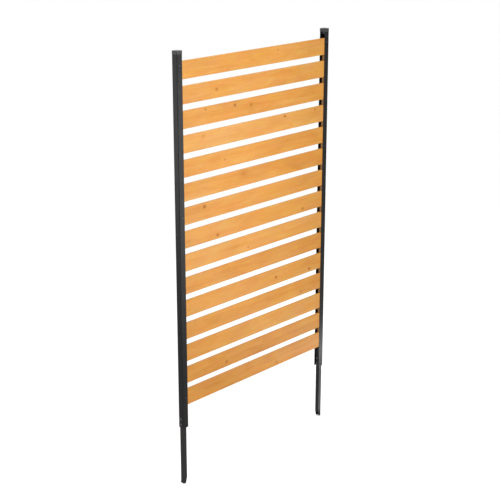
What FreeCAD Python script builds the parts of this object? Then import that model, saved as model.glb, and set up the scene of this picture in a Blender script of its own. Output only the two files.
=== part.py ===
# -*- coding: utf-8 -*-
# Slatted garden privacy screen: fifteen wooden slats between two folded steel
# channel posts on ground stakes.
#
# Frame, in millimetres: +X runs along the slats, -Y is the front, +Z is up.
# The origin is on the ground line (the level of the posts' feet), midway
# between the posts and midway through their depth.

import FreeCAD, Part
import os
import math

from FreeCAD import Vector, Rotation, Placement
import Sketcher

doc = FreeCAD.newDocument("garden_privacy_screen")

# ---------------------------------------------------------------------------
# Driving dimensions
# ---------------------------------------------------------------------------
sheet = doc.addObject("Spreadsheet::Sheet", "dims")

DIMS = [
    # alias, value, note
    ("overall_width", 900.0, "outer face of the left post to outer face of the right post"),
    ("post_wide", 27.0, "post section along the slats"),
    ("post_deep", 27.0, "post section through the screen"),
    ("post_wall", 1.5, "steel sheet of the posts"),
    ("post_bend", 2.2, "outer radius of the folds"),
    ("post_tall", 1531.0, "steel post, foot to top"),
    ("cap_tall", 14.0, "part of the cap above the post"),
    ("cap_over", 0.5, "overhang of the cap past the post, all round"),
    ("cap_edge", 1.6, "rounding of the cap's upper edge"),
    ("cap_slack", 0.3, "play of the cap's plug in the channel"),
    ("plug_tall", 10.0, "plug of the cap inside the channel"),
    ("plug_wall", 2.0, "wall of the plug"),
    ("plug_set", 9.0, "plug set back from the channel's open side"),
    ("slat_count", 15, "slats"),
    ("slat_tall", 70.0, "height of a slat"),
    ("slat_pitch", 95.5, "slat to slat"),
    ("slat_thick", 10.0, "thickness of a slat"),
    ("slat_long", 886.0, "length of a slat, both ends inside the channels"),
    ("slat_ease", 1.4, "eased long edges of a slat"),
    ("slat_high", 1505.0, "upper edge of the top slat above the ground line"),
    ("spacer_wide", 21.0, "spacer block along the slats"),
    ("spacer_inset", 1.0, "spacer face behind the flange edge"),
    ("spacer_slack", 0.2, "height play of a spacer between two slats"),
    ("batten_wide", 14.5, "backing batten along the slats"),
    ("batten_inset", 9.5, "batten face behind the flange edge"),
    ("batten_thick", 13.8, "batten through the screen"),
    ("batten_low", 100.5, "lower end of the batten above the ground line"),
    ("batten_tall", 1401.0, "length of the batten"),
    ("screw_head", 7.6, "diameter of a slat screw's head"),
    ("screw_rise", 2.3, "height of that head"),
    ("screw_round", 1.5, "rounding of that head"),
    ("screw_shank", 4.0, "diameter of its shank"),
    ("screw_long", 19.0, "length of its shank"),
    ("screw_point", 1.8, "length of its point"),
    ("screw_drop", 17.5, "top screw below the top slat's upper edge"),
    ("cross_wide", 0.9, "width of the cross recess"),
    ("cross_long", 4.0, "length of the cross recess"),
    ("cross_deep", 1.2, "depth of the cross recess"),
    ("flange_hole", 4.6, "clearance hole in the front flange"),
    ("pilot_hole", 4.1, "hole in the wood"),
    ("stake_wide", 19.0, "square section of a stake"),
    ("stake_wall", 1.4, "wall of a stake"),
    ("stake_edge", 1.6, "rounded long edges of a stake"),
    ("stake_out", 255.0, "stake below the ground line"),
    ("stake_in", 94.0, "stake inside the post"),
    ("tip_tall", 29.0, "height of the slanted cut at the tip"),
    ("tip_cut", 8.0, "width taken off at the tip"),
    ("bolt_low", 14.0, "lower stake bolt above the ground line"),
    ("bolt_step", 24.0, "bolt to bolt"),
    ("bolt_head", 9.4, "diameter of a stake bolt's head"),
    ("bolt_rise", 3.0, "height of that head"),
    ("bolt_round", 2.0, "rounding of that head"),
    ("bolt_shank", 5.0, "diameter of a stake bolt"),
    ("bolt_long", 27.0, "length of a stake bolt under its head"),
    ("bolt_hole", 5.6, "clearance hole for a stake bolt"),
    ("washer_wide", 10.0, "outer diameter of a washer"),
    ("washer_bore", 5.3, "bore of a washer"),
    ("washer_thick", 1.0, "thickness of a washer"),
    ("nut_flats", 8.0, "across the flats of a nut"),
    ("nut_thick", 4.0, "thickness of a nut"),
    ("nut_bore", 5.1, "bore of a nut"),
]

row = 1
for alias, value, note in DIMS:
    sheet.set("A%d" % row, note)
    sheet.set("B%d" % row, repr(value))
    sheet.setAlias("B%d" % row, alias)
    row += 1
doc.recompute()

D = dict((alias, float(value)) for alias, value, note in DIMS)


def value_of(expression):
    """Number that an expression over the sheet's aliases has now."""
    names = dict(D)
    tokens = expression.replace("(", " ( ").replace(")", " ) ").split()
    stack = []
    # shunting-yard over + - * / and parentheses
    out, ops = [], []
    order = {"+": 1, "-": 1, "*": 2, "/": 2}
    for tok in tokens:
        if tok in order:
            while ops and ops[-1] in order and order[ops[-1]] >= order[tok]:
                out.append(ops.pop())
            ops.append(tok)
        elif tok == "(":
            ops.append(tok)
        elif tok == ")":
            while ops[-1] != "(":
                out.append(ops.pop())
            ops.pop()
        else:
            out.append(names[tok] if tok in names else float(tok))
    while ops:
        out.append(ops.pop())
    for tok in out:
        if tok in ("+", "-", "*", "/"):
            b = stack.pop()
            a = stack.pop()
            stack.append(a + b if tok == "+" else a - b if tok == "-"
                         else a * b if tok == "*" else a / b)
        else:
            stack.append(tok)
    return stack[0]


def bound(expression):
    """The same expression with each alias read from the sheet."""
    words = []
    for tok in expression.replace("(", " ( ").replace(")", " ) ").split():
        words.append("dims." + tok if tok in D else tok)
    return " ".join(words)


# ---------------------------------------------------------------------------
# Small helpers: bodies, sketches and features whose sizes follow the sheet
# ---------------------------------------------------------------------------
PARTS = []


def new_body(label, at):
    body = doc.addObject("PartDesign::Body", label)
    body.Label = label
    body.AllowCompound = True
    for axis, expression in zip("xyz", at):
        if value_of(expression) != 0.0 or expression != "0":
            body.setExpression("Placement.Base." + axis, bound(expression))
    PARTS.append(body)
    return body


def origin_item(body, role):
    for item in body.Origin.OriginFeatures:
        if item.Role == role:
            return item
    raise RuntimeError("no %s in %s" % (role, body.Label))


def new_sketch(body, name, role, lift=None):
    sketch = body.newObject("Sketcher::SketchObject", name)
    sketch.AttachmentSupport = [(origin_item(body, role), "")]
    sketch.MapMode = "FlatFace"
    if lift is not None:
        sketch.AttachmentOffset = Placement(Vector(0, 0, value_of(lift)), Rotation())
        sketch.setExpression("AttachmentOffset.Base.z", bound(lift))
    return sketch


def datum(sketch, constraint, expression):
    index = sketch.addConstraint(constraint)
    name = "size%d" % index
    sketch.renameConstraint(index, name)
    sketch.setExpression("Constraints." + name, bound(expression))


def add_rect(sketch, x, y, wide, tall):
    """Rectangle from its lower left corner; x and y are not negative."""
    x0, y0 = value_of(x), value_of(y)
    w, t = value_of(wide), value_of(tall)
    pts = [Vector(x0, y0, 0), Vector(x0 + w, y0, 0), Vector(x0 + w, y0 + t, 0), Vector(x0, y0 + t, 0)]
    g = [sketch.addGeometry(Part.LineSegment(pts[i], pts[(i + 1) % 4]), False) for i in range(4)]
    for i in range(4):
        sketch.addConstraint(Sketcher.Constraint("Coincident", g[i], 2, g[(i + 1) % 4], 1))
    sketch.addConstraint(Sketcher.Constraint("Horizontal", g[0]))
    sketch.addConstraint(Sketcher.Constraint("Horizontal", g[2]))
    sketch.addConstraint(Sketcher.Constraint("Vertical", g[1]))
    sketch.addConstraint(Sketcher.Constraint("Vertical", g[3]))
    datum(sketch, Sketcher.Constraint("DistanceX", g[0], 1, g[0], 2, w), wide)
    datum(sketch, Sketcher.Constraint("DistanceY", g[1], 1, g[1], 2, t), tall)
    if x0 == 0.0:
        sketch.addConstraint(Sketcher.Constraint("PointOnObject", g[0], 1, -2))
    else:
        datum(sketch, Sketcher.Constraint("DistanceX", -1, 1, g[0], 1, x0), x)
    if y0 == 0.0:
        sketch.addConstraint(Sketcher.Constraint("PointOnObject", g[0], 1, -1))
    else:
        datum(sketch, Sketcher.Constraint("DistanceY", -1, 1, g[0], 1, y0), y)
    return g


def add_circle(sketch, x, y, across):
    """Circle by its centre and diameter; x and y are not negative."""
    x0, y0, d = value_of(x), value_of(y), value_of(across)
    c = sketch.addGeometry(Part.Circle(Vector(x0, y0, 0), Vector(0, 0, 1), d / 2.0), False)
    datum(sketch, Sketcher.Constraint("Diameter", c, d), across)
    if x0 == 0.0:
        sketch.addConstraint(Sketcher.Constraint("PointOnObject", c, 3, -2))
    else:
        datum(sketch, Sketcher.Constraint("DistanceX", -1, 1, c, 3, x0), x)
    if y0 == 0.0:
        sketch.addConstraint(Sketcher.Constraint("PointOnObject", c, 3, -1))
    else:
        datum(sketch, Sketcher.Constraint("DistanceY", -1, 1, c, 3, y0), y)
    return c


def add_hexagon(sketch, x, y, flats):
    """Regular hexagon by its centre and the width across its flats."""
    x0, y0 = value_of(x), value_of(y)
    r = value_of(flats) / 2.0 / math.cos(math.pi / 6)
    pts = [Vector(x0 + r * math.cos(math.pi / 3 * i), y0 + r * math.sin(math.pi / 3 * i), 0) for i in range(6)]
    g = [sketch.addGeometry(Part.LineSegment(pts[i], pts[(i + 1) % 6]), False) for i in range(6)]
    ring = sketch.addGeometry(Part.Circle(Vector(x0, y0, 0), Vector(0, 0, 1), r), True)
    for i in range(6):
        sketch.addConstraint(Sketcher.Constraint("Coincident", g[i], 2, g[(i + 1) % 6], 1))
        sketch.addConstraint(Sketcher.Constraint("PointOnObject", g[i], 1, ring))
    for i in range(1, 6):
        sketch.addConstraint(Sketcher.Constraint("Equal", g[0], g[i]))
    sketch.addConstraint(Sketcher.Constraint("Horizontal", g[1]))
    datum(sketch, Sketcher.Constraint("Distance", g[0], r), flats + " / 1.7320508")
    datum(sketch, Sketcher.Constraint("DistanceX", -1, 1, ring, 3, x0), x)
    datum(sketch, Sketcher.Constraint("DistanceY", -1, 1, ring, 3, y0), y)


def pad(body, name, sketch, length, back=False):
    feature = body.newObject("PartDesign::Pad", name)
    feature.Profile = sketch
    feature.Length = value_of(length)
    feature.setExpression("Length", bound(length))
    feature.Reversed = back
    sketch.Visibility = False
    doc.recompute()
    return feature


def pocket(body, name, sketch, length, back=False, both=False):
    before = body.Shape.Volume
    feature = body.newObject("PartDesign::Pocket", name)
    feature.Profile = sketch
    feature.Length = value_of(length)
    feature.setExpression("Length", bound(length))
    feature.Reversed = back
    if both:
        feature.Midplane = True
    sketch.Visibility = False
    doc.recompute()
    after = body.Shape.Volume
    if not after < before - 1e-6:
        raise RuntimeError("%s in %s removed nothing" % (name, body.Label))
    return feature


def edges_where(feature, test):
    names = []
    for i, edge in enumerate(feature.Shape.Edges):
        if test(edge):
            names.append("Edge%d" % (i + 1))
    return names


def fillet(body, name, base, names, radius):
    feature = body.newObject("PartDesign::Fillet", name)
    feature.Base = (base, names)
    feature.Radius = value_of(radius)
    feature.setExpression("Radius", bound(radius))
    doc.recompute()
    return feature


def chamfer(body, name, base, names, size):
    feature = body.newObject("PartDesign::Chamfer", name)
    feature.Base = (base, names)
    feature.Size = value_of(size)
    feature.setExpression("Size", bound(size))
    doc.recompute()
    return feature


def straight_along(edge, axis):
    if edge.Curve.TypeId != "Part::GeomLine":
        return False
    a, b = edge.Vertexes[0].Point, edge.Vertexes[-1].Point
    d = b - a
    if d.Length < 1e-6:
        return False
    d.normalize()
    return abs(abs(getattr(d, axis)) - 1.0) < 1e-6


def mid(edge):
    return edge.valueAt((edge.FirstParameter + edge.LastParameter) / 2.0)


def near(a, b):
    return abs(a - b) < 1e-4


# ---------------------------------------------------------------------------
# Places that both sides share. Everything is written for distances from a
# local corner, so a side differs only in where that corner is and in which
# way its open side faces.
# ---------------------------------------------------------------------------
SIDES = ("left", "right")
FRONT = "0 - post_deep / 2"                        # outer face of the front flange


def corner_x(side, wide):
    """World X of the local corner of a piece that reaches from the outer face inward."""
    if side == "left":
        return "0 - overall_width / 2"
    return "overall_width / 2 - " + wide


# height of each slat screw above the ground line
SCREW_HEIGHTS = [
    "slat_high - screw_drop",
    "slat_high - 6 * slat_pitch - slat_tall / 2",
    "slat_high - 14 * slat_pitch - slat_tall / 2",
]
SCREWED = {0: "slat_tall - screw_drop", 6: "slat_tall / 2", 14: "slat_tall / 2"}
BOLT_HEIGHTS = ["bolt_low", "bolt_low + bolt_step"]

# ---------------------------------------------------------------------------
# Slats: boards with eased long edges. Local corner: left end, front face,
# lower edge. The first, seventh and fifteenth take the slat screws.
# ---------------------------------------------------------------------------
for i in range(int(D["slat_count"])):
    body = new_body("slat_%02d" % (i + 1),
                    ("0 - slat_long / 2",
                     FRONT + " + post_wall",
                     "slat_high - slat_tall - %d * slat_pitch" % i))
    sk = new_sketch(body, "section_%02d" % (i + 1), "YZ_Plane")
    add_rect(sk, "0", "0", "slat_thick", "slat_tall")
    base = pad(body, "board_%02d" % (i + 1), sk, "slat_long")
    long_edges = edges_where(base, lambda e: straight_along(e, "x"))
    tip = fillet(body, "eased_%02d" % (i + 1), base, long_edges, "slat_ease")
    if i in SCREWED:
        sk = new_sketch(body, "holes_%02d" % (i + 1), "XZ_Plane")
        # the screw sits on the middle of each flange
        add_circle(sk, "( slat_long - overall_width ) / 2 + post_wide / 2", SCREWED[i], "pilot_hole")
        add_circle(sk, "( slat_long + overall_width ) / 2 - post_wide / 2", SCREWED[i], "pilot_hole")
        tip = pocket(body, "pilots_%02d" % (i + 1), sk, "slat_thick + slat_thick")
    body.Tip = tip

# ---------------------------------------------------------------------------
# Posts: folded steel channels, open towards the slats. Local corner: lower
# end, front face, left side of the section.
# ---------------------------------------------------------------------------
for side in SIDES:
    body = new_body(side + "_post", (corner_x(side, "post_wide"), FRONT, "0"))
    sk = new_sketch(body, side + "_post_outline", "XY_Plane")
    add_rect(sk, "0", "0", "post_wide", "post_deep")
    base = pad(body, side + "_post_bar", sk, "post_tall")
    web_x = 0.0 if side == "left" else D["post_wide"]
    corners = edges_where(base, lambda e: straight_along(e, "z") and near(mid(e).x, web_x))
    base = fillet(body, side + "_post_folds", base, corners, "post_bend")
    sk = new_sketch(body, side + "_post_hollow", "XY_Plane")
    add_rect(sk, "post_wall" if side == "left" else "0", "post_wall",
             "post_wide - post_wall", "post_deep - 2 * post_wall")
    base = pocket(body, side + "_post_channel", sk, "post_tall", back=True)
    inner_x = D["post_wall"] if side == "left" else D["post_wide"] - D["post_wall"]
    corners = edges_where(base, lambda e: straight_along(e, "z") and near(mid(e).x, inner_x))
    base = fillet(body, side + "_post_inner_folds", base, corners, "post_bend - post_wall")
    sk = new_sketch(body, side + "_post_screw_holes", "XZ_Plane")
    for height in SCREW_HEIGHTS:
        add_circle(sk, "post_wide / 2", height, "flange_hole")
    base = pocket(body, side + "_post_front_holes", sk, "4 * post_wall", both=True)
    sk = new_sketch(body, side + "_post_bolt_holes", "YZ_Plane",
                    None if side == "left" else "post_wide")
    for height in BOLT_HEIGHTS:
        add_circle(sk, "post_deep / 2", height, "bolt_hole")
    base = pocket(body, side + "_post_web_holes", sk, "4 * post_wall", both=True)
    body.Tip = base

# ---------------------------------------------------------------------------
# Caps: a plain head, a little proud of the post's outline, and a hollow plug
# in the channel, set back from its open side. Local corner: left side and
# front face of the head, at the post's upper end.
# ---------------------------------------------------------------------------
for side in SIDES:
    body = new_body(side + "_cap", (corner_x(side, "post_wide") + " - cap_over",
                                    FRONT + " - cap_over", "post_tall"))
    sk = new_sketch(body, side + "_cap_outline", "XY_Plane")
    add_rect(sk, "0", "0", "post_wide + 2 * cap_over", "post_deep + 2 * cap_over")
    base = pad(body, side + "_cap_head", sk, "cap_tall")
    web_x = 0.0 if side == "left" else D["post_wide"] + 2 * D["cap_over"]
    corners = edges_where(base, lambda e: straight_along(e, "z") and near(mid(e).x, web_x))
    base = fillet(body, side + "_cap_folds", base, corners, "post_bend + cap_over")
    rim = edges_where(base, lambda e: near(mid(e).z, D["cap_tall"])
                      and near(e.Vertexes[0].Point.z, D["cap_tall"]))
    base = fillet(body, side + "_cap_rim", base, rim, "cap_edge")
    plug_x = "cap_over + post_wall + cap_slack" if side == "left" else "cap_over + plug_set"
    plug_y = "cap_over + post_wall + cap_slack"
    plug_wide = "post_wide - post_wall - cap_slack - plug_set"
    plug_deep = "post_deep - 2 * post_wall - 2 * cap_slack"
    sk = new_sketch(body, side + "_cap_plug_outline", "XY_Plane")
    add_rect(sk, plug_x, plug_y, plug_wide, plug_deep)
    base = pad(body, side + "_cap_plug", sk, "plug_tall", back=True)
    sk = new_sketch(body, side + "_cap_plug_core", "XY_Plane")
    add_rect(sk, plug_x + " + plug_wall", plug_y + " + plug_wall",
             plug_wide + " - 2 * plug_wall", plug_deep + " - 2 * plug_wall")
    base = pocket(body, side + "_cap_plug_hollow", sk, "plug_tall")
    body.Tip = base

# ---------------------------------------------------------------------------
# Stakes: square hollow bars in the foot of each post, against its web, with
# the side that faces the other post cut at a slant. Local corner: the tip's
# level, front face, left side.
# ---------------------------------------------------------------------------
for side in SIDES:
    at_x = ("0 - overall_width / 2 + post_wall" if side == "left"
            else "overall_width / 2 - post_wall - stake_wide")
    body = new_body(side + "_stake", (at_x, "0 - stake_wide / 2", "0 - stake_out"))
    sk = new_sketch(body, side + "_stake_outline", "XY_Plane")
    add_rect(sk, "0", "0", "stake_wide", "stake_wide")
    base = pad(body, side + "_stake_bar", sk, "stake_out + stake_in")
    base = fillet(body, side + "_stake_edges", base,
                  edges_where(base, lambda e: straight_along(e, "z")), "stake_edge")
    sk = new_sketch(body, side + "_stake_bore", "XY_Plane")
    add_rect(sk, "stake_wall", "stake_wall",
             "stake_wide - 2 * stake_wall", "stake_wide - 2 * stake_wall")
    base = pocket(body, side + "_stake_hollow", sk, "stake_out + stake_in", back=True)
    # slanted cut: a triangle seen from the front
    sk = new_sketch(body, side + "_stake_slant", "XZ_Plane")
    w, c, t = D["stake_wide"], D["tip_cut"], D["tip_tall"]
    if side == "left":
        pts = [Vector(w - c, 0, 0), Vector(w, 0, 0), Vector(w, t, 0)]
    else:
        pts = [Vector(c, 0, 0), Vector(0, 0, 0), Vector(0, t, 0)]
    g = [sk.addGeometry(Part.LineSegment(pts[k], pts[(k + 1) % 3]), False) for k in range(3)]
    for k in range(3):
        sk.addConstraint(Sketcher.Constraint("Coincident", g[k], 2, g[(k + 1) % 3], 1))
    sk.addConstraint(Sketcher.Constraint("PointOnObject", g[0], 1, -1))
    sk.addConstraint(Sketcher.Constraint("PointOnObject", g[0], 2, -1))
    sk.addConstraint(Sketcher.Constraint("Vertical", g[1]))
    datum(sk, Sketcher.Constraint("Distance", g[1], t), "tip_tall")
    datum(sk, Sketcher.Constraint("Distance", g[0], c), "tip_cut")
    if side == "left":
        datum(sk, Sketcher.Constraint("DistanceX", -1, 1, g[1], 1, w), "stake_wide")
    else:
        sk.addConstraint(Sketcher.Constraint("PointOnObject", g[1], 1, -2))
    base = pocket(body, side + "_stake_point", sk, "4 * stake_wide", both=True)
    sk = new_sketch(body, side + "_stake_bolt_holes", "YZ_Plane")
    for height in BOLT_HEIGHTS:
        add_circle(sk, "stake_wide / 2", "stake_out + " + height, "bolt_hole")
    base = pocket(body, side + "_stake_holes", sk, "4 * stake_wide", both=True)
    body.Tip = base

# ---------------------------------------------------------------------------
# Spacers: wooden blocks as thick as the slats, one in each gap, at both ends.
# Local corner: left side, front face, underside of the lowest block.
# ---------------------------------------------------------------------------
for side in SIDES:
    at_x = ("0 - overall_width / 2 + post_wide - spacer_inset - spacer_wide" if side == "left"
            else "overall_width / 2 - post_wide + spacer_inset")
    body = new_body(side + "_spacers",
                    (at_x, FRONT + " + post_wall",
                     "slat_high - 14 * slat_pitch + spacer_slack / 2"))
    sk = new_sketch(body, side + "_spacer_section", "XY_Plane")
    add_rect(sk, "0", "0", "spacer_wide", "slat_thick")
    base = pad(body, side + "_spacer_block", sk, "slat_pitch - slat_tall - spacer_slack")
    rows = body.newObject("PartDesign::LinearPattern", side + "_spacer_row")
    rows.Originals = [base]
    rows.Direction = (origin_item(body, "Z_Axis"), [""])
    rows.Length = 13 * D["slat_pitch"]
    rows.setExpression("Length", "( dims.slat_count - 2 ) * dims.slat_pitch")
    rows.Occurrences = 14
    rows.setExpression("Occurrences", "dims.slat_count - 1")
    body.Tip = rows
    doc.recompute()

# ---------------------------------------------------------------------------
# Battens: upright strips behind the slat ends, deep in the channels, which
# the slat screws bite into. Local corner: left side, front face, lower end.
# ---------------------------------------------------------------------------
for side in SIDES:
    at_x = ("0 - overall_width / 2 + post_wide - batten_inset - batten_wide" if side == "left"
            else "overall_width / 2 - post_wide + batten_inset")
    body = new_body(side + "_batten",
                    (at_x, FRONT + " + post_wall + slat_thick", "batten_low"))
    sk = new_sketch(body, side + "_batten_section", "XY_Plane")
    add_rect(sk, "0", "0", "batten_wide", "batten_thick")
    base = pad(body, side + "_batten_bar", sk, "batten_tall")
    sk = new_sketch(body, side + "_batten_holes", "XZ_Plane")
    for height in SCREW_HEIGHTS:
        if side == "left":
            along = "batten_wide + batten_inset - post_wide / 2"
        else:
            along = "post_wide / 2 - batten_inset"
        add_circle(sk, along, height + " - batten_low", "pilot_hole")
    base = pocket(body, side + "_batten_pilots", sk, "screw_long - post_wall - slat_thick + 1")
    body.Tip = base

# ---------------------------------------------------------------------------
# Slat screws: pan heads with a cross recess, on the middle of the front
# flange. Local origin: outer face of that flange, on the ground line.
# ---------------------------------------------------------------------------
for side in SIDES:
    at_x = ("0 - overall_width / 2" if side == "left" else "overall_width / 2 - post_wide")
    body = new_body(side + "_slat_screws", (at_x, FRONT, "0"))
    sk = new_sketch(body, side + "_screw_heads", "XZ_Plane")
    for height in SCREW_HEIGHTS:
        add_circle(sk, "post_wide / 2", height, "screw_head")
    base = pad(body, side + "_screw_head", sk, "screw_rise")
    rims = edges_where(base, lambda e: near(mid(e).y, -D["screw_rise"])
                       and e.Curve.TypeId == "Part::GeomCircle")
    base = fillet(body, side + "_screw_pan", base, rims, "screw_round")
    sk = new_sketch(body, side + "_screw_shanks", "XZ_Plane")
    for height in SCREW_HEIGHTS:
        add_circle(sk, "post_wide / 2", height, "screw_shank")
    base = pad(body, side + "_screw_shank", sk, "screw_long", back=True)
    points = edges_where(base, lambda e: near(mid(e).y, D["screw_long"])
                         and e.Curve.TypeId == "Part::GeomCircle")
    base = chamfer(body, side + "_screw_tip", base, points, "screw_point")
    for way in ("level", "upright"):
        sk = new_sketch(body, side + "_screw_cross_" + way, "XZ_Plane", "screw_rise")
        for height in SCREW_HEIGHTS:
            if way == "level":
                add_rect(sk, "post_wide / 2 - cross_long / 2", height + " - cross_wide / 2",
                         "cross_long", "cross_wide")
            else:
                add_rect(sk, "post_wide / 2 - cross_wide / 2", height + " - cross_long / 2",
                         "cross_wide", "cross_long")
        base = pocket(body, side + "_screw_recess_" + way, sk, "cross_deep")
    body.Tip = base

# ---------------------------------------------------------------------------
# Stake bolts: pan heads outside the web, shanks through web and stake.
# Local corner: outer face of the web, front face level of the post.
# ---------------------------------------------------------------------------
for side in SIDES:
    at_x = "0 - overall_width / 2" if side == "left" else "overall_width / 2"
    outward = side == "left"                      # heads towards -X on the left
    body = new_body(side + "_stake_bolts", (at_x, FRONT, "0"))
    sk = new_sketch(body, side + "_bolt_heads", "YZ_Plane")
    for height in BOLT_HEIGHTS:
        add_circle(sk, "post_deep / 2", height, "bolt_head")
    base = pad(body, side + "_bolt_head", sk, "bolt_rise", back=outward)
    out_x = -D["bolt_rise"] if side == "left" else D["bolt_rise"]
    rims = edges_where(base, lambda e: near(mid(e).x, out_x)
                       and e.Curve.TypeId == "Part::GeomCircle")
    base = fillet(body, side + "_bolt_pan", base, rims, "bolt_round")
    sk = new_sketch(body, side + "_bolt_shanks", "YZ_Plane")
    for height in BOLT_HEIGHTS:
        add_circle(sk, "post_deep / 2", height, "bolt_shank")
    base = pad(body, side + "_bolt_shank", sk, "bolt_long", back=not outward)
    for way in ("level", "upright"):
        sk = new_sketch(body, side + "_bolt_cross_" + way, "YZ_Plane",
                        "0 - bolt_rise" if side == "left" else "bolt_rise")
        for height in BOLT_HEIGHTS:
            if way == "level":
                add_rect(sk, "post_deep / 2 - cross_long / 2", height + " - cross_wide / 2",
                         "cross_long", "cross_wide")
            else:
                add_rect(sk, "post_deep / 2 - cross_wide / 2", height + " - cross_long / 2",
                         "cross_wide", "cross_long")
        base = pocket(body, side + "_bolt_recess_" + way, sk, "cross_deep", back=outward)
    body.Tip = base

# ---------------------------------------------------------------------------
# Washers and nuts on the stake bolts, inside the channel. Local corner: the
# plane of the stake's inner face.
# ---------------------------------------------------------------------------
for side in SIDES:
    face = ("0 - overall_width / 2 + post_wall + stake_wide" if side == "left"
            else "overall_width / 2 - post_wall - stake_wide")
    inward = side == "left"                       # the channel opens towards +X on the left
    body = new_body(side + "_stake_washers", (face, FRONT, "0"))
    sk = new_sketch(body, side + "_washer_rings", "YZ_Plane")
    for height in BOLT_HEIGHTS:
        add_circle(sk, "post_deep / 2", height, "washer_wide")
        add_circle(sk, "post_deep / 2", height, "washer_bore")
    body.Tip = pad(body, side + "_washer", sk, "washer_thick", back=not inward)

    nut_face = face + (" + washer_thick" if side == "left" else " - washer_thick")
    body = new_body(side + "_stake_nuts", (nut_face, FRONT, "0"))
    sk = new_sketch(body, side + "_nut_sections", "YZ_Plane")
    for height in BOLT_HEIGHTS:
        add_hexagon(sk, "post_deep / 2", height, "nut_flats")
        add_circle(sk, "post_deep / 2", height, "nut_bore")
    body.Tip = pad(body, side + "_nut", sk, "nut_thick", back=not inward)

doc.recompute()

# ---------------------------------------------------------------------------
# Every object must be sound before anything is written
# ---------------------------------------------------------------------------
EXPECTED = {"spacers": 14, "slat_screws": 3, "stake_bolts": 2, "stake_washers": 2, "stake_nuts": 2}

problems = []
for obj in doc.Objects:
    for word in ("Invalid", "Error"):
        if word in obj.State:
            problems.append("%s is %s" % (obj.Label, obj.State))
for obj in PARTS:
    shape = obj.Shape
    if shape.isNull() or not shape.isValid():
        problems.append("%s has a bad shape" % obj.Label)
        continue
    count = 1
    for ending, number in EXPECTED.items():
        if obj.Label.endswith(ending):
            count = number
    if len(shape.Solids) != count:
        problems.append("%s has %d solids, not %d" % (obj.Label, len(shape.Solids), count))
if problems:
    for line in problems:
        print("PROBLEM", line)
    raise RuntimeError("; ".join(problems))

os.makedirs("parts", exist_ok=True)
lo = [1e9, 1e9, 1e9]
hi = [-1e9, -1e9, -1e9]
for obj in PARTS:
    shape = obj.Shape
    shape.exportStep(os.path.join("parts", obj.Label + ".step"))
    box = shape.BoundBox
    for k, (a, b) in enumerate(((box.XMin, box.XMax), (box.YMin, box.YMax), (box.ZMin, box.ZMax))):
        lo[k] = min(lo[k], a)
        hi[k] = max(hi[k], b)
    print("%-22s %8.1f %7.2f %8.1f  to %8.1f %7.2f %8.1f  %10.1f mm3  %d solid(s)" % (
        obj.Label, box.XMin, box.YMin, box.ZMin, box.XMax, box.YMax, box.ZMax,
        shape.Volume, len(shape.Solids)))
print("box", [round(v, 2) for v in lo], [round(v, 2) for v in hi])
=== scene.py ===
import math
import random

import bmesh
import bpy
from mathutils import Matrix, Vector


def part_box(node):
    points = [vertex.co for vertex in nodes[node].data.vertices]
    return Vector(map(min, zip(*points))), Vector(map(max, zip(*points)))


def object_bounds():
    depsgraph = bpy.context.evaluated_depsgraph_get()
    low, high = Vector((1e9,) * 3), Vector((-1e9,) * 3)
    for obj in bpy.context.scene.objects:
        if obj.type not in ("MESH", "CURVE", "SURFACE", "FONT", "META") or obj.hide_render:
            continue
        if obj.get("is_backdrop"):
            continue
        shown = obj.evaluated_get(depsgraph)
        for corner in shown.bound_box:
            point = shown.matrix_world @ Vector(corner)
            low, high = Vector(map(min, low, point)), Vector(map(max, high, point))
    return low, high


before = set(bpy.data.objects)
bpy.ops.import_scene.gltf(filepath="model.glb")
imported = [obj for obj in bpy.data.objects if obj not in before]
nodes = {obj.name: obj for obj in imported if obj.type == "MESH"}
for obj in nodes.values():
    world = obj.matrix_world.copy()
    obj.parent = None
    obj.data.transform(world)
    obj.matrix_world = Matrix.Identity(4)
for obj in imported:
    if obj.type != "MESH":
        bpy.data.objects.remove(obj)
cad_lo, cad_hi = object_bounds()

scene = bpy.context.scene
rng = random.Random(41)

SLATS = ["slat_%02d" % i for i in range(1, 16)]
SIDES = ("left", "right")
FLOOR = cad_lo.z - 0.0005


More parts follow.
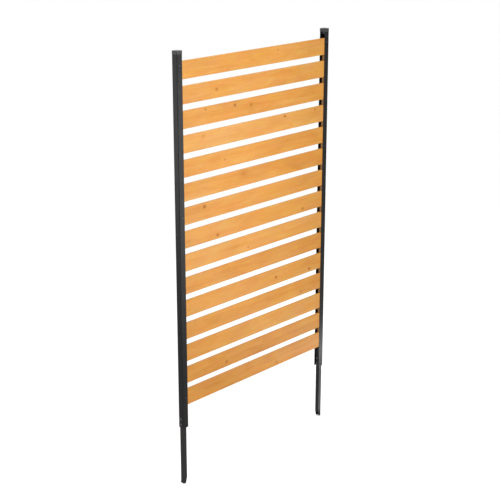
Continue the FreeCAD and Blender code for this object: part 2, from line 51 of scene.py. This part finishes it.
# ---------------------------------------------------------------------------
# Node-building helpers
# ---------------------------------------------------------------------------
class Tree:
    """A node tree with short calls for the nodes used here."""

    def __init__(self, tree):
        self.tree = tree

    def put(self, socket, value):
        if value is None:
            return
        if isinstance(value, bpy.types.NodeSocket):
            self.tree.links.new(value, socket)
        else:
            socket.default_value = value

    def new(self, kind, **props):
        node = self.tree.nodes.new(kind)
        for key, value in props.items():
            setattr(node, key, value)
        return node

    def math(self, op, a, b=None, c=None, clamp=False):
        node = self.new("ShaderNodeMath", operation=op, use_clamp=clamp)
        for socket, value in zip(node.inputs, (a, b, c)):
            self.put(socket, value)
        return node.outputs[0]

    def add(self, a, b):
        return self.math("ADD", a, b)

    def sub(self, a, b):
        return self.math("SUBTRACT", a, b)

    def mul(self, a, b):
        return self.math("MULTIPLY", a, b)

    def mad(self, a, b, c):
        return self.math("MULTIPLY_ADD", a, b, c)

    def vec(self, op, a, b=None, scale=None):
        node = self.new("ShaderNodeVectorMath", operation=op)
        self.put(node.inputs[0], a)
        self.put(node.inputs[1], b)
        if scale is not None:
            self.put(node.inputs["Scale"], scale)
        return node.outputs["Value"] if op in ("LENGTH", "DOT_PRODUCT", "DISTANCE") else node.outputs[0]

    def split(self, v):
        node = self.new("ShaderNodeSeparateXYZ")
        self.put(node.inputs[0], v)
        return node.outputs[0], node.outputs[1], node.outputs[2]

    def join(self, x, y, z):
        node = self.new("ShaderNodeCombineXYZ")
        for socket, value in zip(node.inputs, (x, y, z)):
            self.put(socket, value)
        return node.outputs[0]

    def noise(self, v, scale=1.0, detail=2.0, rough=0.5, distortion=0.0):
        node = self.new("ShaderNodeTexNoise", noise_dimensions="3D")
        self.put(node.inputs["Vector"], v)
        self.put(node.inputs["Scale"], scale)
        self.put(node.inputs["Detail"], detail)
        self.put(node.inputs["Roughness"], rough)
        self.put(node.inputs["Distortion"], distortion)
        return node.outputs["Fac"]

    def white(self, value):
        node = self.new("ShaderNodeTexWhiteNoise", noise_dimensions="1D")
        self.put(node.inputs["W"], value)
        return node.outputs["Value"]

    def cells(self, v, scale, feature="F1", rand=1.0):
        node = self.new("ShaderNodeTexVoronoi", feature=feature)
        self.put(node.inputs["Vector"], v)
        self.put(node.inputs["Scale"], scale)
        self.put(node.inputs["Randomness"], rand)
        return node.outputs["Distance"]

    def span(self, value, a, b, lo=0.0, hi=1.0, kind="SMOOTHSTEP"):
        node = self.new("ShaderNodeMapRange", interpolation_type=kind, clamp=True)
        for name, x in (("Value", value), ("From Min", a), ("From Max", b), ("To Min", lo), ("To Max", hi)):
            self.put(node.inputs[name], x)
        return node.outputs[0]

    def ramp(self, fac, stops, kind="LINEAR"):
        node = self.new("ShaderNodeValToRGB")
        node.color_ramp.interpolation = kind
        el = node.color_ramp.elements
        while len(el) < len(stops):
            el.new(0.5)
        for e, (at, colour) in zip(el, stops):
            e.position = at
            e.color = (*colour, 1.0)
        self.put(node.inputs[0], fac)
        return node.outputs[0]

    def mix(self, fac, a, b, blend="MIX"):
        node = self.new("ShaderNodeMix", data_type="RGBA", blend_type=blend, clamp_factor=True)
        self.put(node.inputs[0], fac)
        for socket, value in ((node.inputs[6], a), (node.inputs[7], b)):
            if isinstance(value, (tuple, list)):
                value = (*value[:3], 1.0)
            self.put(socket, value)
        return node.outputs[2]

    def bump(self, height, strength, distance, normal=None):
        node = self.new("ShaderNodeBump")
        self.put(node.inputs["Height"], height)
        node.inputs["Strength"].default_value = strength
        node.inputs["Distance"].default_value = distance
        self.put(node.inputs["Normal"], normal)
        return node.outputs[0]

    def group(self, tree, **values):
        node = self.new("ShaderNodeGroup")
        node.node_tree = tree
        for key, value in values.items():
            self.put(node.inputs[key], value)
        return node.outputs


def new_group(name, inputs, outputs):
    tree = bpy.data.node_groups.new(name, "ShaderNodeTree")
    for label, kind in inputs:
        tree.interface.new_socket(label, in_out="INPUT", socket_type=kind)
    for label, kind in outputs:
        tree.interface.new_socket(label, in_out="OUTPUT", socket_type=kind)
    t = Tree(tree)
    source = t.new("NodeGroupInput").outputs
    sink = t.new("NodeGroupOutput").inputs
    return tree, t, source, sink


def new_material(name):
    material = bpy.data.materials.new(name)
    material.use_nodes = True
    material.node_tree.nodes.clear()
    t = Tree(material.node_tree)
    shader = t.new("ShaderNodeBsdfPrincipled")
    output = t.new("ShaderNodeOutputMaterial")
    t.tree.links.new(shader.outputs[0], output.inputs[0])
    return material, t, shader


def here(t):
    return t.new("ShaderNodeTexCoord").outputs["Object"]


FLOAT, VECTOR, COLOUR = "NodeSocketFloat", "NodeSocketVector", "NodeSocketColor"


# ---------------------------------------------------------------------------
# Wood: growth rings round a pith that lies beside the board, so the faces, the
# edges and the end grain all come from one solid pattern
# ---------------------------------------------------------------------------
def make_board_group():
    tree, t, src, out = new_group(
        "board",
        [("Vector", VECTOR), ("Seed", FLOAT), ("Pith V", FLOAT), ("Pith W", FLOAT), ("Slope", FLOAT),
         ("Ring", FLOAT), ("Half V", FLOAT), ("Half W", FLOAT)],
        [("Late", FLOAT), ("Streak", FLOAT), ("Fibre", FLOAT), ("Fine", FLOAT), ("Blotch", FLOAT),
         ("Patch", FLOAT), ("Hue", FLOAT), ("Tint", FLOAT), ("Edge", FLOAT), ("End", FLOAT)],
    )
    u, v, w = t.split(src["Vector"])
    seed = src["Seed"]

    def stretched(su, sv, sw, shift):
        a = t.mad(u, su, t.mul(seed, 3.17 + shift))
        b = t.mad(v, sv, t.mul(seed, 5.71 + shift))
        c = t.mad(w, sw, t.mul(seed, 1.93 - shift))
        return t.join(a, b, c)

    sway = t.sub(t.noise(stretched(1.3, 2.2, 2.2, 0.0), 1.0, 1.0), 0.5)
    sway_w = t.sub(t.noise(stretched(1.7, 2.0, 2.0, 1.1), 1.0, 1.0), 0.5)
    ripple = t.sub(t.noise(stretched(5.5, 26.0, 26.0, 2.3), 1.0, 2.0), 0.5)
    vv = t.add(t.sub(t.sub(v, src["Pith V"]), t.mul(src["Slope"], u)), t.mul(sway, 0.034))
    ww = t.add(t.sub(w, src["Pith W"]), t.mul(sway_w, 0.030))
    radius = t.math("SQRT", t.add(t.mul(vv, vv), t.mul(ww, ww)))
    radius = t.add(radius, t.mul(ripple, 0.0030))
    uneven = t.noise(t.join(t.mul(radius, 55.0), t.mul(seed, 2.3), 0.0), 1.0, 1.0)
    place = t.add(t.math("DIVIDE", radius, src["Ring"]), t.mul(uneven, 1.6))
    f = t.math("FRACT", place)
    ring = t.math("FLOOR", place)
    depth = t.span(t.white(t.add(ring, t.mul(seed, 11.0))), 0.0, 1.0, 0.35, 1.0, "LINEAR")
    late = t.mul(t.math("POWER", f, 2.1), t.sub(1.0, t.span(f, 0.90, 1.0)))
    late = t.mul(late, depth)

    streak = t.noise(stretched(0.9, 58.0, 58.0, 3.1), 1.0, 3.0, 0.55)
    fibre = t.noise(stretched(7.0, 360.0, 360.0, 4.7), 1.0, 2.0, 0.5)
    fine = t.noise(stretched(60.0, 2300.0, 2300.0, 5.9), 1.0, 2.0, 0.6)
    blotch = t.noise(stretched(3.1, 8.5, 8.5, 7.7), 1.0, 2.0, 0.5)
    # where the stain took more or less, and where it dried more yellow or more red
    patch = t.noise(stretched(8.5, 25.0, 25.0, 10.3), 1.0, 2.0, 0.5, 0.6)
    hue = t.noise(stretched(6.5, 19.0, 19.0, 12.9), 1.0, 2.0, 0.55, 0.5)
    tint = t.noise(stretched(12.0, 34.0, 34.0, 14.1), 1.0, 3.0, 0.6, 0.7)

    # distance to the nearest long arris, whichever face the point is on
    rim = t.math("MAXIMUM", t.sub(src["Half V"], t.math("ABSOLUTE", v)), t.sub(src["Half W"], t.math("ABSOLUTE", w)))
    rim = t.add(rim, t.mul(t.sub(t.noise(stretched(24.0, 90.0, 90.0, 9.1), 1.0, 2.0), 0.5), 0.0022))
    edge = t.span(rim, 0.0004, 0.0034, 1.0, 0.0)

    normal = t.new("ShaderNodeNewGeometry").outputs["Normal"]
    along = t.math("ABSOLUTE", t.split(normal)[0])
    end = t.span(along, 0.6, 0.9)

    for name, value in (("Late", late), ("Streak", streak), ("Fibre", fibre), ("Fine", fine), ("Blotch", blotch),
                        ("Patch", patch), ("Hue", hue), ("Tint", tint), ("Edge", edge), ("End", end)):
        t.put(out[name], value)
    return tree


# A knot: the grain runs round it, and it has a dark rim and a reddish core
def make_knot_group():
    tree, t, src, out = new_group(
        "knot",
        [("Vector", VECTOR), ("U", FLOAT), ("V", FLOAT), ("Radius", FLOAT), ("Seed", FLOAT)],
        [("Vector", VECTOR), ("Core", FLOAT), ("Rings", FLOAT), ("Rim", FLOAT), ("Halo", FLOAT)],
    )
    u, v, w = t.split(src["Vector"])
    du = t.sub(u, src["U"])
    dv = t.sub(v, src["V"])
    r = src["Radius"]
    rough = t.noise(t.join(t.mad(du, 160.0, src["Seed"]), t.mul(dv, 160.0), src["Seed"]), 1.0, 2.0)
    a = t.math("DIVIDE", du, t.mul(r, 1.25))
    b = t.math("DIVIDE", dv, r)
    near = t.math("SQRT", t.add(t.mul(a, a), t.mul(b, b)))
    near = t.add(near, t.mul(t.sub(rough, 0.5), 0.55))
    core = t.span(near, 0.70, 0.98, 1.0, 0.0)
    rim = t.mul(t.span(near, 0.62, 0.95), t.span(near, 1.0, 1.32, 1.0, 0.0))
    halo = t.span(near, 0.9, 2.7, 1.0, 0.0)
    rings = t.mad(t.math("SINE", t.mad(near, 21.0, t.mul(rough, 4.0))), 0.5, 0.5)
    # the grain is squeezed round the knot
    ga = t.math("DIVIDE", du, t.mul(r, 3.6))
    gb = t.math("DIVIDE", dv, t.mul(r, 2.4))
    g = t.math("EXPONENT", t.mul(t.add(t.mul(ga, ga), t.mul(gb, gb)), -1.0))
    pulled = t.sub(v, t.mul(t.mul(dv, g), 0.85))
    t.put(out["Vector"], t.join(u, pulled, w))
    t.put(out["Core"], core)
    t.put(out["Rings"], t.mul(rings, core))
    t.put(out["Rim"], rim)
    t.put(out["Halo"], halo)
    return tree


BOARD = make_board_group()
KNOT = make_knot_group()


def wood_material(name, centre, half_v, half_w, seed, pith, slope, ring, knots=(), smudges=(), turned=False,
                  light=(0.452, 0.228, 0.056), mid=(0.412, 0.179, 0.029), dark=(0.330, 0.112, 0.008), tone=0.0):
    """Stained softwood. centre: middle of the board; turned: its grain runs along Z instead of X."""
    material, t, shader = new_material(name)
    p = t.vec("SUBTRACT", here(t), tuple(centre))
    if turned:
        x, y, z = t.split(p)
        p = t.join(z, x, y)
    else:
        x, y, z = t.split(p)
        p = t.join(x, z, y)
    cores, rings, rims, halos = None, None, None, None
    for k, (ku, kv, kr, ks) in enumerate(knots):
        o = t.group(KNOT, Vector=p, U=ku, V=kv, Radius=kr, Seed=seed * 1.7 + k * 3.3)
        p = o["Vector"]
        core, rim, halo = (t.mul(o[n], ks) for n in ("Core", "Rim", "Halo"))
        cores = core if cores is None else t.math("MAXIMUM", cores, core)
        rings = o["Rings"] if rings is None else t.math("MAXIMUM", rings, o["Rings"])
        rims = rim if rims is None else t.math("MAXIMUM", rims, rim)
        halos = halo if halos is None else t.math("MAXIMUM", halos, halo)
    b = t.group(BOARD, Vector=p, **{"Seed": seed, "Pith V": pith[0], "Pith W": pith[1], "Slope": slope,
                                    "Ring": ring, "Half V": half_v, "Half W": half_w})
    late, streak, fibre, fine, blotch, patch, hue, tint, edge, end = (b[n] for n in (
        "Late", "Streak", "Fibre", "Fine", "Blotch", "Patch", "Hue", "Tint", "Edge", "End"))
    shade = t.mul(late, 0.34)
    shade = t.add(shade, t.mul(t.sub(streak, 0.5), 0.52))
    shade = t.add(shade, t.mul(t.sub(fibre, 0.5), 0.30))
    shade = t.add(shade, t.mul(t.sub(blotch, 0.5), 0.46))
    shade = t.add(shade, t.mul(t.sub(patch, 0.5), 0.62))
    shade = t.add(shade, 0.34 + tone)
    # darker stretches of the board, as (metres along, metres up, half length, half height, strength)
    for su, sv, sa, sb, strength in smudges:
        u, v, w = t.split(p)
        da = t.math("DIVIDE", t.sub(u, su), sa)
        db = t.math("DIVIDE", t.sub(v, sv), sb)
        g = t.math("EXPONENT", t.mul(t.add(t.mul(da, da), t.mul(db, db)), -1.0))
        shade = t.add(shade, t.mul(g, strength))
    colour = t.ramp(shade, [(0.0, light), (0.46, mid), (1.0, dark)])
    turn = t.mix(t.span(hue, 0.28, 0.72), (1.030, 1.012, 0.90), (0.970, 0.988, 1.12))
    colour = t.vec("MULTIPLY", colour, turn)
    turn = t.mix(t.span(tint, 0.30, 0.70), (0.994, 1.052, 0.955), (1.006, 0.948, 1.045))
    colour = t.vec("MULTIPLY", colour, turn)
    # end grain drinks more stain
    colour = t.mix(t.mul(end, 0.55), colour, tuple(0.55 * c for c in dark))
    # the eased arrises are rubbed a little thinner
    colour = t.mix(t.mul(edge, 0.26), colour, tuple(min(1.0, c * 1.10) for c in light))
    if cores is not None:
        colour = t.mix(t.mul(halos, 0.42), colour, (0.325, 0.114, 0.0050))
        grain = t.mad(rings, 0.55, t.mul(t.noise(t.vec("SCALE", p, scale=520.0), 1.0, 2.0), 0.50))
        core = t.mix(grain, (0.175, 0.052, 0.0015), (0.270, 0.092, 0.0040))
        colour = t.mix(t.mul(cores, 0.80), colour, core)
        colour = t.mix(t.mul(rims, 0.50), colour, (0.140, 0.040, 0.0015))
    t.put(shader.inputs["Base Color"], colour)
    roughness = t.add(0.50, t.mul(t.sub(streak, 0.5), 0.22))
    roughness = t.add(roughness, t.mul(t.sub(fine, 0.5), 0.12))
    roughness = t.sub(roughness, t.mul(late, 0.09))
    roughness = t.add(roughness, t.mul(end, 0.18))
    t.put(shader.inputs["Roughness"], roughness)
    shader.inputs["Specular IOR Level"].default_value = 0.16
    height = t.add(t.mul(late, 0.55), t.add(t.mul(fibre, 0.55), t.mul(fine, 0.38)))
    if cores is not None:
        height = t.add(height, t.sub(t.mul(cores, 0.35), t.mul(rims, 0.70)))
    t.put(shader.inputs["Normal"], t.bump(height, 0.42, 0.00055))
    return material


# Small knots, as (metres along the slat from its middle, metres above its
# centre line, radius, strength), and the slats that are a shade darker or lighter
KNOTS = {
    1: [(-0.174, -0.0240, 0.0028, 0.45), (0.125, 0.0190, 0.0030, 0.50), (0.324, -0.0080, 0.0030, 0.30)],
    2: [(-0.237, -0.0010, 0.0044, 0.85), (0.205, 0.0110, 0.0022, 0.15)],
    3: [(-0.133, 0.0180, 0.0048, 1.10), (-0.038, 0.0060, 0.0042, 0.85), (-0.299, 0.0245, 0.0032, 1.10)],
    4: [(-0.313, 0.0180, 0.0040, 0.45), (0.171, 0.0235, 0.0042, 0.95), (0.367, 0.0240, 0.0034, 0.80)],
    5: [(-0.192, -0.0016, 0.0042, 0.50)],
    6: [(-0.086, 0.0150, 0.0046, 0.40)],
    7: [(-0.311, 0.0190, 0.0054, 1.25)],
    8: [(-0.238, -0.0180, 0.0046, 1.10), (0.294, -0.0190, 0.0044, 0.85)],
    9: [(-0.055, -0.0165, 0.0036, 0.65)],
    10: [(0.148, 0.0140, 0.0026, 0.15)],
    11: [(0.344, -0.0190, 0.0046, 1.15), (0.121, -0.0030, 0.0050, 1.05)],
    12: [(0.289, -0.0165, 0.0042, 0.50)],
    13: [(0.052, -0.0110, 0.0030, 0.20)],
    14: [(-0.190, -0.0130, 0.0054, 0.75), (-0.318, -0.0130, 0.0032, 0.40)],
    15: [(0.129, -0.0190, 0.0050, 0.55)],
}
SMUDGES = {
    3: [(-0.020, 0.006, 0.050, 0.016, 0.14)],
    4: [(-0.096, 0.008, 0.026, 0.006, 0.22), (0.385, 0.012, 0.030, 0.022, 0.16)],
    5: [(0.360, 0.004, 0.045, 0.022, 0.22)],
    6: [(-0.082, 0.012, 0.028, 0.018, 0.26)],
    8: [(-0.405, -0.012, 0.022, 0.018, 0.20)],
    9: [(-0.146, 0.002, 0.062, 0.013, 0.26)],
    10: [(0.330, 0.006, 0.080, 0.026, 0.14)],
    12: [(-0.215, -0.004, 0.070, 0.016, 0.12)],
    14: [(0.250, -0.008, 0.120, 0.020, 0.12)],
    15: [(-0.240, 0.004, 0.060, 0.014, 0.14)],
}
TONES = {1: -0.05, 2: -0.01, 3: 0.05, 4: -0.12, 5: 0.08, 6: 0.14, 7: 0.01, 8: -0.04, 9: -0.05, 10: 0.11,
         11: -0.05, 12: 0.0, 13: -0.04, 14: 0.22, 15: 0.17}


def slat_materials():
    for i, name in enumerate(SLATS, 1):
        lo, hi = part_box(name)
        centre = (lo + hi) / 2
        size = hi - lo
        side = 1.0 if i % 3 else -1.0
        pith = (rng.uniform(-0.030, 0.030), side * rng.uniform(0.020, 0.055))
        tone = TONES.get(i, 0.0) + rng.uniform(-0.012, 0.012)
        material = wood_material(
            "slat_wood_%02d" % i, centre, size.z / 2, size.y / 2, seed=2.3 + 1.37 * i, pith=pith,
            slope=rng.uniform(-0.035, 0.035), ring=rng.uniform(0.0036, 0.0052), knots=KNOTS.get(i, ()),
            smudges=SMUDGES.get(i, ()), tone=tone)
        put_material(nodes[name], material)


def put_material(obj, material):
    if not obj.data.materials:
        obj.data.materials.append(material)
    for slot in obj.material_slots:
        slot.material = material
    while len(obj.data.materials) > 1:
        obj.data.materials.pop()


slat_materials()

for k, side in enumerate(SIDES):
    name = side + "_batten"
    lo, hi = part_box(name)
    # painted shade: the battens get the slat stain darkened to a near-black brown, standing in for the shade deep in
    # the channel behind the slats
    material = wood_material(
        "batten_wood_painted_shade_" + side, (lo + hi) / 2, (hi.x - lo.x) / 2, (hi.y - lo.y) / 2, seed=31.0 + 4.1 * k,
        pith=(0.018, 0.012), slope=0.004, ring=0.0026, turned=True,
        light=(0.052, 0.034, 0.021), mid=(0.036, 0.023, 0.014), dark=(0.020, 0.012, 0.008))
    put_material(nodes[name], material)
    name = side + "_spacers"
    lo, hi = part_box(name)
    # painted shade: the spacers get a darker copy of the slat stain, standing in for the shade at the channel mouth
    # between the slats
    material = wood_material(
        "spacer_wood_painted_shade_" + side, (lo + hi) / 2, (hi.x - lo.x) / 2, (hi.y - lo.y) / 2, seed=47.0 + 5.3 * k,
        pith=(0.026, -0.020), slope=0.006, ring=0.0031, turned=True,
        light=(0.340, 0.180, 0.066), mid=(0.275, 0.142, 0.048), dark=(0.175, 0.084, 0.026))
    put_material(nodes[name], material)


# ---------------------------------------------------------------------------
# Powder-coated steel of the posts and stakes
# ---------------------------------------------------------------------------
def coated_steel(name, base, worn, inner_x, outer_x, half_y, roughness, peel, gloss):
    """Powder coat over folded sheet. inner_x, outer_x and half_y give the section, for the rubbed edges."""
    material, t, shader = new_material(name)
    p = here(t)
    x, y, z = t.split(p)
    ax = t.math("ABSOLUTE", x)
    ay = t.sub(half_y, t.math("ABSOLUTE", y))
    fold = t.math("MAXIMUM", t.sub(outer_x, ax), ay)
    free = t.math("MAXIMUM", t.sub(ax, inner_x), ay)
    rim = t.math("MINIMUM", fold, free)
    patchy = t.noise(t.join(t.mul(x, 60.0), t.mul(y, 60.0), t.mul(z, 9.0)), 1.0, 3.0, 0.6)
    rim = t.add(rim, t.mul(t.sub(patchy, 0.5), 0.0040))
    edge = t.span(rim, 0.0, 0.0022, 1.0, 0.0)
    cloud = t.noise(t.join(t.mul(x, 14.0), t.mul(y, 14.0), t.mul(z, 2.6)), 1.0, 3.0, 0.55)
    speck = t.noise(t.vec("SCALE", p, scale=1500.0), 1.0, 2.0, 0.6)
    dust = t.noise(t.join(t.mul(x, 90.0), t.mul(y, 90.0), t.mul(z, 34.0)), 1.0, 4.0, 0.7)
    colour = t.mix(t.span(cloud, 0.3, 0.7), tuple(0.82 * c for c in base), tuple(1.22 * c for c in base))
    colour = t.mix(t.mul(t.span(speck, 0.55, 0.75), 0.25), colour, tuple(min(1.0, 1.8 * c + 0.004) for c in base))
    colour = t.mix(t.mul(t.span(dust, 0.58, 0.80), 0.14), colour, (0.105, 0.100, 0.092))
    colour = t.mix(t.mul(edge, 0.42), colour, worn)
    t.put(shader.inputs["Base Color"], colour)
    rough = t.add(roughness, t.mul(t.sub(cloud, 0.5), 0.16))
    rough = t.add(rough, t.mul(t.sub(speck, 0.5), 0.16))
    rough = t.sub(rough, t.mul(edge, 0.08))
    t.put(shader.inputs["Roughness"], rough)
    shader.inputs["Specular IOR Level"].default_value = gloss
    orange = t.cells(t.vec("ADD", p, (1.37, 0.71, 0.43)), 620.0, "SMOOTH_F1")
    height = t.add(t.mul(orange, 0.9), t.mul(speck, 0.35))
    t.put(shader.inputs["Normal"], t.bump(height, peel, 0.00035))
    return material


post_steel = coated_steel("post_coat", (0.0054, 0.0053, 0.0057), (0.024, 0.023, 0.022), 0.423, 0.450, 0.0135, 0.38, 0.20, 0.10)
stake_steel = coated_steel("stake_coat", (0.0050, 0.0049, 0.0053), (0.030, 0.029, 0.028), 0.4295, 0.4485, 0.0095, 0.38, 0.20, 0.15)
for side in SIDES:
    put_material(nodes[side + "_post"], post_steel)
    put_material(nodes[side + "_stake"], stake_steel)


# ---------------------------------------------------------------------------
# Moulded caps
# ---------------------------------------------------------------------------
def moulded_plastic(name):
    material, t, shader = new_material(name)
    p = here(t)
    grain = t.cells(t.vec("ADD", p, (0.9, 0.4, 0.2)), 900.0, "F1")
    soft = t.noise(t.vec("SCALE", p, scale=70.0), 1.0, 3.0, 0.55)
    fine = t.noise(t.vec("SCALE", p, scale=1700.0), 1.0, 2.0, 0.6)
    colour = t.mix(t.span(soft, 0.3, 0.7), (0.0150, 0.0150, 0.0158), (0.0235, 0.0231, 0.0235))
    colour = t.mix(t.mul(t.span(grain, 0.2, 0.7), 0.4), colour, (0.0195, 0.0195, 0.0200))
    x, y, z = t.split(p)
    # painted highlight: the top 3 mm of the cap is mixed lighter, as if lit from above
    painted_top_highlight = t.span(z, cad_hi.z - 0.0030, cad_hi.z - 0.0002)
    colour = t.mix(t.mul(painted_top_highlight, 0.20), colour, (0.060, 0.058, 0.056))
    t.put(shader.inputs["Base Color"], colour)
    t.put(shader.inputs["Roughness"], t.add(0.50, t.add(t.mul(t.sub(soft, 0.5), 0.14), t.mul(t.sub(fine, 0.5), 0.12))))
    shader.inputs["Specular IOR Level"].default_value = 0.30
    t.put(shader.inputs["Normal"], t.bump(t.add(grain, t.mul(fine, 0.4)), 0.22, 0.00025))
    return material


cap_plastic = moulded_plastic("cap_plastic")
for side in SIDES:
    put_material(nodes[side + "_cap"], cap_plastic)


# ---------------------------------------------------------------------------
# Zinc-plated fasteners
# ---------------------------------------------------------------------------
def zinc(name, tint, roughness):
    material, t, shader = new_material(name)
    p = here(t)
    cloud = t.noise(t.vec("SCALE", p, scale=420.0), 1.0, 3.0, 0.6)
    fine = t.noise(t.vec("SCALE", p, scale=2600.0), 1.0, 2.0, 0.6)
    flake = t.cells(t.vec("ADD", p, (0.31, 0.17, 0.59)), 1100.0, "F1")
    colour = t.mix(t.span(cloud, 0.3, 0.7), tuple(0.80 * c for c in tint), tint)
    colour = t.mix(t.mul(t.span(flake, 0.3, 0.7), 0.18), colour, tuple(min(1.0, 1.15 * c) for c in tint))
    t.put(shader.inputs["Base Color"], colour)
    shader.inputs["Metallic"].default_value = 1.0
    t.put(shader.inputs["Roughness"], t.add(roughness, t.add(t.mul(t.sub(cloud, 0.5), 0.22), t.mul(t.sub(fine, 0.5), 0.14))))
    t.put(shader.inputs["Normal"], t.bump(t.add(cloud, t.mul(fine, 0.5)), 0.16, 0.00012))
    return material


screw_zinc = zinc("screw_black_zinc", (0.066, 0.065, 0.068), 0.42)
bolt_zinc = zinc("bolt_black_zinc", (0.095, 0.095, 0.099), 0.34)
for side in SIDES:
    put_material(nodes[side + "_slat_screws"], screw_zinc)
    for part in ("_stake_bolts", "_stake_washers", "_stake_nuts"):
        put_material(nodes[side + part], bolt_zinc)


# ---------------------------------------------------------------------------
# Stage, light and camera
# ---------------------------------------------------------------------------
def stage():
    mesh = bpy.data.meshes.new("floor")
    bm = bmesh.new()
    half = 30.0
    bmesh.ops.create_grid(bm, x_segments=4, y_segments=4, size=half)
    for v in bm.verts:
        v.co.z = FLOOR
    bm.to_mesh(mesh)
    bm.free()
    floor = bpy.data.objects.new("floor", mesh)
    scene.collection.objects.link(floor)
    material, t, shader = new_material("floor_paint")
    cloud = t.noise(t.vec("SCALE", here(t), scale=0.35), 1.0, 2.0)
    t.put(shader.inputs["Base Color"], t.mix(cloud, (0.940, 0.940, 0.940), (0.960, 0.960, 0.960)))
    shader.inputs["Roughness"].default_value = 0.85
    shader.inputs["Specular IOR Level"].default_value = 0.15
    mesh.materials.append(material)
    floor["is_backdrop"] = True


def area_light(name, location, target, size, power, spread=180.0):
    light = bpy.data.lights.new(name, "AREA")
    light.shape = "RECTANGLE"
    light.size, light.size_y = size
    light.energy = power
    light.spread = math.radians(spread)
    obj = bpy.data.objects.new(name, light)
    obj.location = location
    obj.rotation_mode = "QUATERNION"
    obj.rotation_quaternion = (Vector(target) - Vector(location)).to_track_quat("-Z", "Y")
    obj.visible_camera = False
    scene.collection.objects.link(obj)


stage()

world = bpy.data.worlds.new("studio")
world.use_nodes = True
world.node_tree.nodes["Background"].inputs[0].default_value = (1.0, 1.0, 1.0, 1.0)
world.node_tree.nodes["Background"].inputs[1].default_value = 1.058
scene.world = world

area_light("key", (-0.6, -1.7, 2.5), (-0.05, 0.0, 1.0), (1.0, 1.0), 20.4, 130.0)
area_light("front_strip", (0.71, -1.19, 0.62), (-0.45, 0.0, 0.80), (0.30, 1.35), 2.3, 100.0)
area_light("front_spot", (0.70, -1.19, 0.75), (-0.45, 0.0, 0.95), (0.32, 1.1), 1.1, 60.0)
area_light("left_strip", (-1.75, 1.32, 0.86), (-0.45, 0.0, 0.95), (0.6, 1.1), 2.5, 100.0)
area_light("left_spot", (-1.65, 1.22, 0.92), (-0.45, 0.0, 1.05), (0.6, 0.9), 0.6, 60.0)
area_light("low_strip", (0.95, -0.42, -0.17), (0.44, 0.0, -0.08), (0.25, 0.12), 0.4, 70.0)
area_light("ground_strip", (0.575, -0.118, FLOOR + 0.036), (0.497, -0.055, FLOOR + 0.536), (0.10, 0.28), 0.24)
area_light("back_fill", (1.4, 2.2, 2.3), (0.0, 0.0, 0.9), (1.4, 1.4), 12.0, 150.0)

scene.view_settings.view_transform = "Standard"
scene.view_settings.look = "None"
scene.view_settings.exposure = 0.0
scene.view_settings.gamma = 1.0

camera_data = bpy.data.cameras.new("camera")
camera_data.sensor_width = 36.0
camera_data.lens = 87.067
camera_data.clip_start, camera_data.clip_end = 0.1, 200.0
camera = bpy.data.objects.new("camera", camera_data)
scene.collection.objects.link(camera)
azimuth, elevation = math.radians(-47.5438), math.radians(17.6759)
back = Vector((math.sin(azimuth) * math.cos(elevation), -math.cos(azimuth) * math.cos(elevation), math.sin(elevation)))
camera.location = (-3.5905, -3.2561, 2.2051)
camera.rotation_mode = "QUATERNION"
camera.rotation_quaternion = (-back).to_track_quat("-Z", "Y")
scene.camera = camera

lo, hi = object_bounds()
